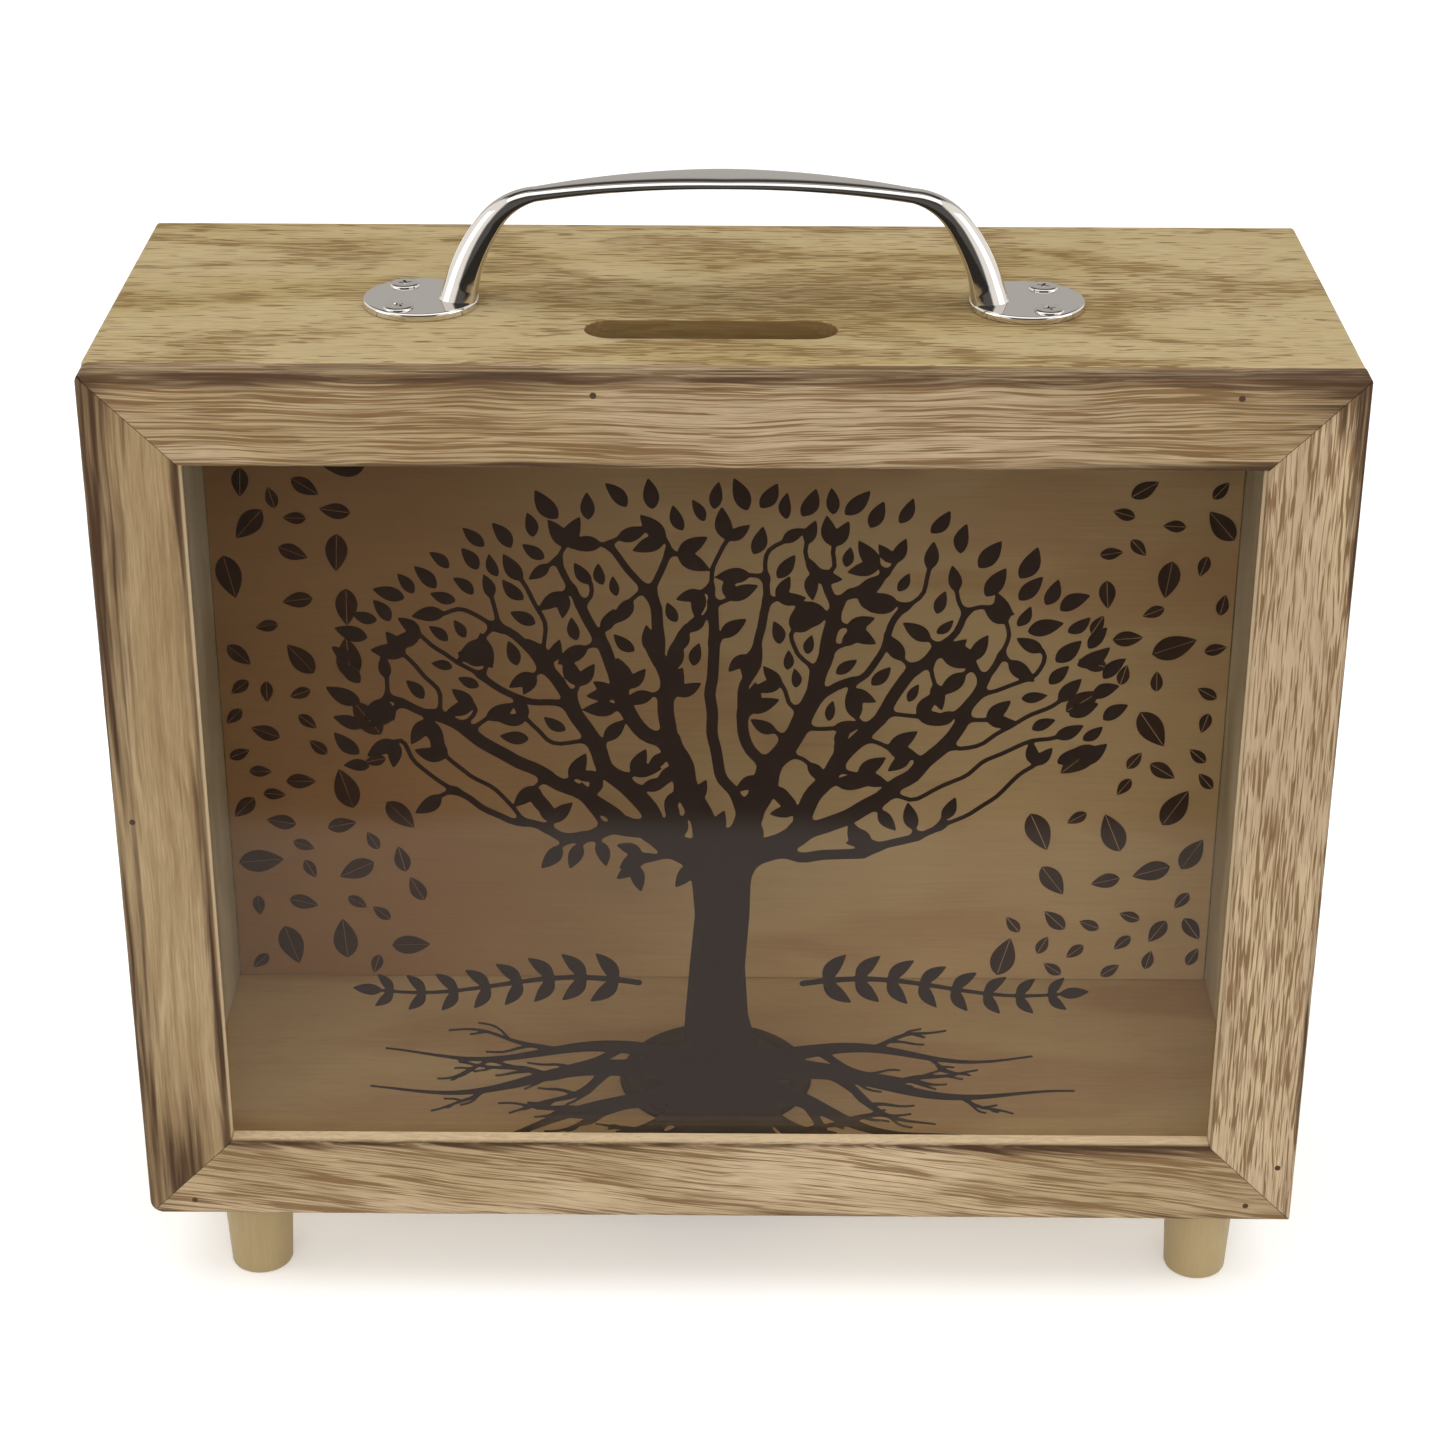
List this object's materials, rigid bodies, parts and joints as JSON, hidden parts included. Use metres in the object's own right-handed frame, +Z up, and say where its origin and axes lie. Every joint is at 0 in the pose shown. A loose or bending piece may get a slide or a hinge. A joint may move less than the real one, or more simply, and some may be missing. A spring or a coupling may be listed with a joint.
{
  "type": "money box",
  "caption": "Shallow wooden money box with a mitred, glazed front, a coin slot and a bow handle on top, tapered feet and a bung in the floor.",
  "frame": {"origin": "on the surface the feet stand on, under the middle of the case's width and depth", "axes": "+X to the right along the case's width, +Y from the glass front to the back board, +Z up"},
  "size_m": [0.2, 0.078, 0.1961],
  "materials": {
    "case_wood": "oiled, with brown streaked grain",
    "frame_wood": "satin, scorched dark along its edges",
    "glass": "clear",
    "foot_wood": "satin",
    "chrome": "polished",
    "screw_chrome": "polished",
    "bung_rubber": "matte",
    "nail_steel": "dull"
  },
  "bodies": {
    "box": {"top_board": "case_wood", "bottom_board": "case_wood", "left_side_board": "case_wood", "right_side_board": "case_wood", "back_board": "case_wood", "frame_top_rail": "frame_wood", "frame_bottom_rail": "frame_wood", "frame_left_stile": "frame_wood", "frame_right_stile": "frame_wood", "glass_pane": "glass", "foot_front_left": "foot_wood", "foot_front_right": "foot_wood", "foot_back_left": "foot_wood", "foot_back_right": "foot_wood", "handle": "chrome", "handle_screw_left_front": "screw_chrome", "handle_screw_left_back": "screw_chrome", "handle_screw_right_front": "screw_chrome", "handle_screw_right_back": "screw_chrome", "frame_brads": "nail_steel", "case_nails": "nail_steel"},
    "bung": {"coin_bung": "bung_rubber"}
  },
  "joints": [
    {"name": "bung_pull", "type": "slide", "parent": "box", "child": "bung", "axis": [0, 0, -1], "range_m": [0, 0.014]}
  ]
}
